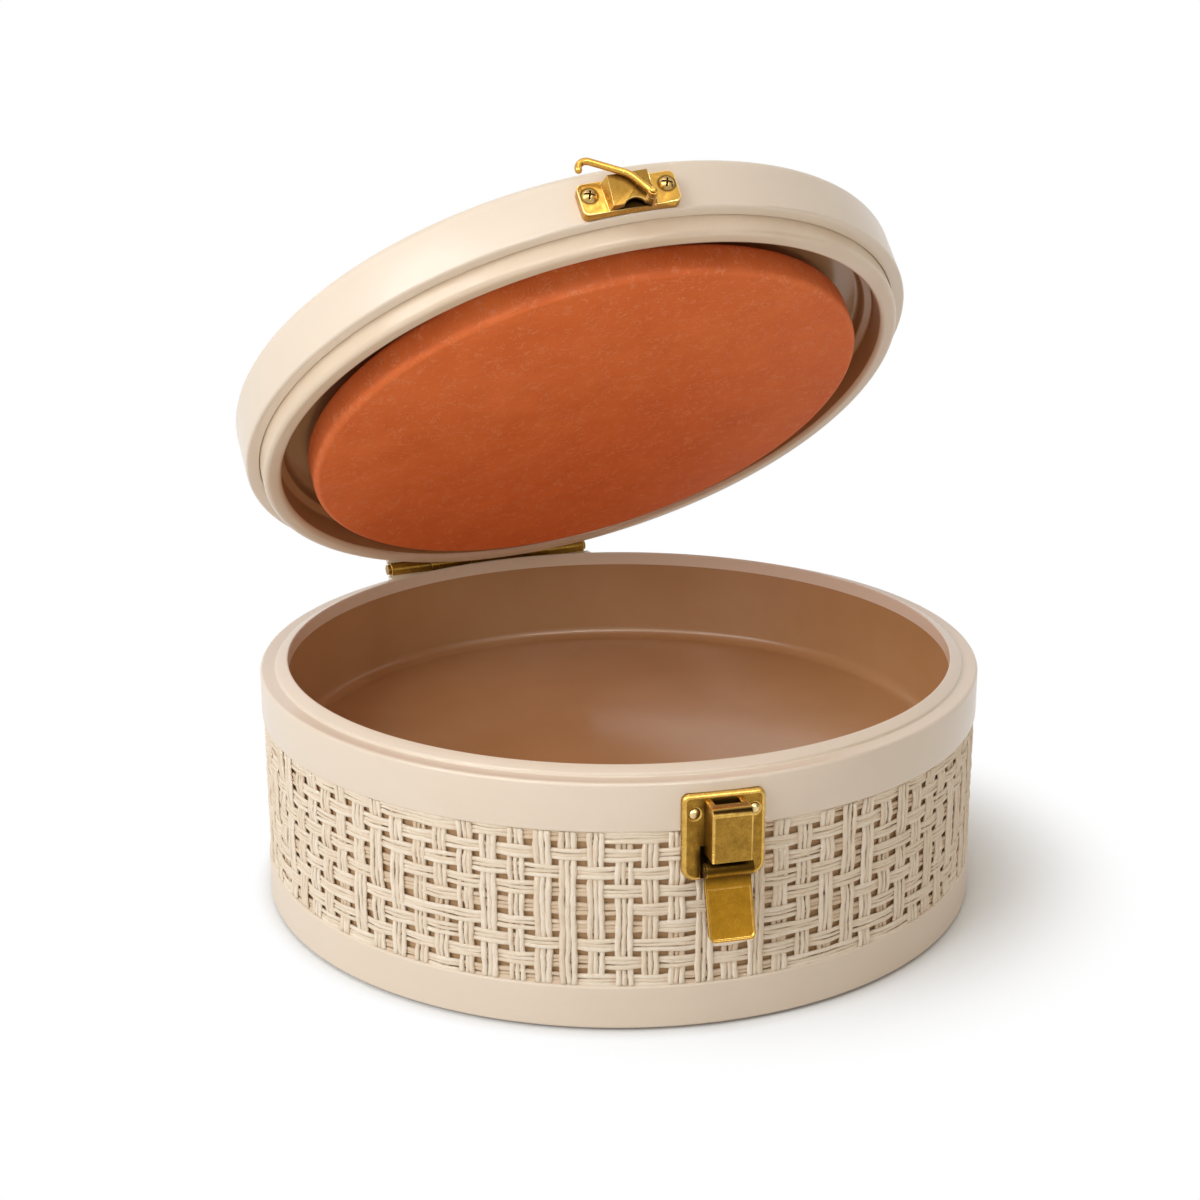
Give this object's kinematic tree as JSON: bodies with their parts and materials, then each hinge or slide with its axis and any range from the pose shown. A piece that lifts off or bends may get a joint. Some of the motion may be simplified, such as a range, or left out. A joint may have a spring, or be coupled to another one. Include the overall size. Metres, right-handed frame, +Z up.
{
  "type": "tortilla warmer",
  "caption": "Round insulated tortilla warmer with a woven band, a hinged lid carrying a terracotta heat disc, and a brass hook latch pressed open by a lever.",
  "frame": {"origin": "centre of the base pad's underside, on the table", "axes": "+Z up, +Y towards the hinge at the back, +X to the right seen from the front"},
  "size_m": [0.264, 0.2829, 0.273],
  "materials": {
    "cream": "satin",
    "raffia": "matte",
    "tan": "satin",
    "wadding": "matte",
    "terracotta": "matte",
    "brass": "satin",
    "steel": "satin",
    "pad": "matte"
  },
  "bodies": {
    "base": {"outer_shell": "cream", "woven_band": "raffia", "rim_ring": "cream", "inner_liner": "tan", "wall_insulation": "wadding", "base_insulation": "wadding", "base_cover": "cream", "base_screws": "steel", "base_pad": "pad", "latch_plate": "brass", "latch_housing": "brass", "latch_rivets": "brass", "lever_pin": "steel", "lever_spring": "steel", "hinge_body_leaf": "brass", "hinge_pin": "steel", "hinge_body_screws": "brass"},
    "lid": {"hinge_lid_leaf": "brass", "hinge_lid_screws": "brass", "lid_shell": "cream", "lid_liner": "tan", "lid_insulation": "wadding", "terracotta_disc": "terracotta", "disc_spacer": "steel", "disc_stud": "steel", "disc_washer": "steel", "disc_nut": "steel", "catch_plate": "brass", "catch_screws": "brass", "hook_rivet": "brass"},
    "lever": {"latch_lever": "brass"},
    "hook": {"catch_hook": "brass"}
  },
  "joints": [
    {"name": "lid_hinge", "type": "hinge", "parent": "base", "child": "lid", "pos_m": [0, 0.1307, 0.0883], "axis": [-1, 0, 0], "range_deg": [-40.5, 54.5]},
    {"name": "lever_press", "type": "hinge", "parent": "base", "child": "lever", "pos_m": [-0.02642, -0.13593, 0.0586], "axis": [0.9816, -0.1908, 0], "range_deg": [0, 11], "stiffness_Nm_per_rad": 0.02, "springref_deg": -20.05},
    {"name": "hook_swing", "type": "hinge", "parent": "lid", "child": "hook", "pos_m": [-0.02029, -0.06819, 0.26264], "axis": [-0.1908, -0.7464, 0.6375], "range_deg": [0, 110]}
  ]
}
